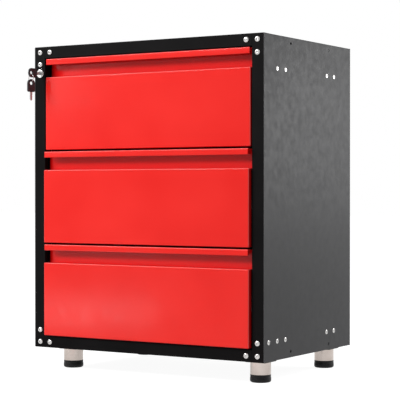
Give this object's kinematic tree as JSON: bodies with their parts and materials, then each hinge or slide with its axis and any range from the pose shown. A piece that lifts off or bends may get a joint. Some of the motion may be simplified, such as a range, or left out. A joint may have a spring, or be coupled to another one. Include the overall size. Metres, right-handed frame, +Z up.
{
  "type": "drawer tool cabinet",
  "caption": "Free-standing steel tool cabinet with finger-pull drawers on telescopic runners, central cam lock with keys, and height-adjustable round feet.",
  "frame": {"origin": "on the floor, in the middle of the space that the cabinet and its keys take", "axes": "+Z up, +X to the right as one faces the drawers, +Y to the back"},
  "size_m": [0.684, 0.5119, 0.833],
  "materials": {
    "grey_paint": "satin",
    "black_paint": "satin",
    "red_paint": "gloss",
    "tray_paint": "satin",
    "zinc": "zinc plated",
    "bright_steel": "bright",
    "chrome": "mirror",
    "black_plastic": "fine grain",
    "nylon": "smooth"
  },
  "bodies": {
    "cabinet": {"back_panel": "grey_paint", "back_rivets": "zinc", "bar_guides": "nylon", "bottom_panel": "grey_paint", "cabinet_runner_left_1": "zinc", "cabinet_runner_left_2": "zinc", "cabinet_runner_left_3": "zinc", "cabinet_runner_right_1": "zinc", "cabinet_runner_right_2": "zinc", "cabinet_runner_right_3": "zinc", "corner_plates": "zinc", "frame_screws": "bright_steel", "leg_plates": "black_plastic", "leg_tubes": "chrome", "lock_body": "bright_steel", "lock_nut": "bright_steel", "rail_bottom": "black_paint", "rail_top": "black_paint", "side_panel_left": "grey_paint", "side_panel_right": "grey_paint", "side_screws": "bright_steel", "stile_left": "black_paint", "stile_right": "black_paint", "top_panel": "grey_paint", "upright_front_left": "zinc", "upright_front_right": "zinc", "upright_rear_left": "zinc", "upright_rear_right": "zinc"},
    "drawer_1": {"drawer_front_1": "red_paint", "drawer_tray_1": "tray_paint", "drawer_runners_1": "zinc", "lock_catch_1": "zinc"},
    "middle_members_1": {"middle_runner_left_1": "zinc", "middle_runner_right_1": "zinc", "runner_glides_1": "nylon"},
    "drawer_2": {"drawer_front_2": "red_paint", "drawer_tray_2": "tray_paint", "drawer_runners_2": "zinc", "lock_catch_2": "zinc"},
    "middle_members_2": {"middle_runner_left_2": "zinc", "middle_runner_right_2": "zinc", "runner_glides_2": "nylon"},
    "drawer_3": {"drawer_front_3": "red_paint", "drawer_tray_3": "tray_paint", "drawer_runners_3": "zinc", "lock_catch_3": "zinc"},
    "middle_members_3": {"middle_runner_left_3": "zinc", "middle_runner_right_3": "zinc", "runner_glides_3": "nylon"},
    "plug": {"lock_plug": "bright_steel", "lock_cam": "bright_steel"},
    "locking_bar": {"lock_bar": "zinc"},
    "turned_key": {"key": "black_plastic"},
    "hanging_keys": {"key_ring": "bright_steel", "spare_key": "black_plastic"},
    "foot_front_left": {"foot_front_left": "black_plastic"},
    "foot_front_right": {"foot_front_right": "black_plastic"},
    "foot_rear_left": {"foot_rear_left": "black_plastic"},
    "foot_rear_right": {"foot_rear_right": "black_plastic"}
  },
  "joints": [
    {"name": "drawer_1_slide", "type": "slide", "parent": "cabinet", "child": "drawer_1", "axis": [0, -1, 0], "range_m": [0, 0.37]},
    {"name": "middle_members_1_slide", "type": "slide", "parent": "cabinet", "child": "middle_members_1", "axis": [0, -1, 0], "range_m": [0, 0.185]},
    {"name": "drawer_2_slide", "type": "slide", "parent": "cabinet", "child": "drawer_2", "axis": [0, -1, 0], "range_m": [-0.008, 0.362]},
    {"name": "middle_members_2_slide", "type": "slide", "parent": "cabinet", "child": "middle_members_2", "axis": [0, -1, 0], "range_m": [-0.004, 0.181]},
    {"name": "drawer_3_slide", "type": "slide", "parent": "cabinet", "child": "drawer_3", "axis": [0, -1, 0], "range_m": [-0.008, 0.362]},
    {"name": "middle_members_3_slide", "type": "slide", "parent": "cabinet", "child": "middle_members_3", "axis": [0, -1, 0], "range_m": [-0.004, 0.181]},
    {"name": "lock_turn", "type": "hinge", "parent": "cabinet", "child": "plug", "pos_m": [-0.322, -0.2055, 0.7645], "axis": [0, 1, 0], "range_deg": [0, 90]},
    {"name": "bar_lift", "type": "slide", "parent": "cabinet", "child": "locking_bar", "axis": [0, 0, 1], "range_m": [0, 0.0113]},
    {"name": "key_pull", "type": "slide", "parent": "plug", "child": "turned_key", "axis": [0, -1, 0], "range_m": [0, 0.022]},
    {"name": "spare_swing", "type": "hinge", "parent": "turned_key", "child": "hanging_keys", "pos_m": [-0.322, -0.244, 0.7645], "axis": [1, 0, 0], "range_deg": [-60, 25]},
    {"name": "foot_front_left_height", "type": "slide", "parent": "cabinet", "child": "foot_front_left", "axis": [0, 0, -1], "range_m": [0, 0.015]},
    {"name": "foot_front_right_height", "type": "slide", "parent": "cabinet", "child": "foot_front_right", "axis": [0, 0, -1], "range_m": [0, 0.015]},
    {"name": "foot_rear_left_height", "type": "slide", "parent": "cabinet", "child": "foot_rear_left", "axis": [0, 0, -1], "range_m": [0, 0.015]},
    {"name": "foot_rear_right_height", "type": "slide", "parent": "cabinet", "child": "foot_rear_right", "axis": [0, 0, -1], "range_m": [0, 0.015]}
  ],
  "couplings": [
    {"joint": "middle_members_1_slide", "follows": "drawer_1_slide", "ratio": 0.5},
    {"joint": "middle_members_2_slide", "follows": "drawer_2_slide", "ratio": 0.5},
    {"joint": "middle_members_3_slide", "follows": "drawer_3_slide", "ratio": 0.5},
    {"joint": "lock_turn", "follows": "bar_lift", "rad_per_m": 138.84}
  ]
}
